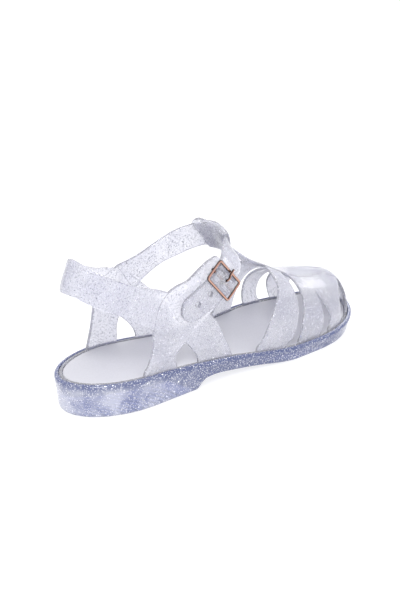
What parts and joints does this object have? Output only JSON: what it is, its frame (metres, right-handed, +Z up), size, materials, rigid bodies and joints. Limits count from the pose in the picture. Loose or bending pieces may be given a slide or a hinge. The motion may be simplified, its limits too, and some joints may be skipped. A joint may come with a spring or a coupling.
{
  "type": "jelly sandal",
  "caption": "Clear glitter PVC fisherman sandal for the right foot: caged toe, T-bar and ankle strap with a pin buckle on the outer side, low heel block and insole.",
  "frame": {"origin": "middle of the flat underside of the heel, on the floor", "axes": "+X towards the toe, +Y towards the inner side of the foot, +Z up"},
  "size_m": [0.25, 0.0851, 0.0993],
  "materials": {
    "outsole": "translucent violet-grey moulded PVC with dense silver glitter",
    "upper": "clear PVC with a faint lavender tint and scattered silver glitter",
    "insole": "satin grey-lavender sheet",
    "buckle": "polished rose gold plating"
  },
  "bodies": {
    "root": {"outsole": "outsole", "upper": "upper", "insole": "insole", "buckle_frame": "buckle", "buckle_prong": "buckle"}
  },
  "joints": []
}
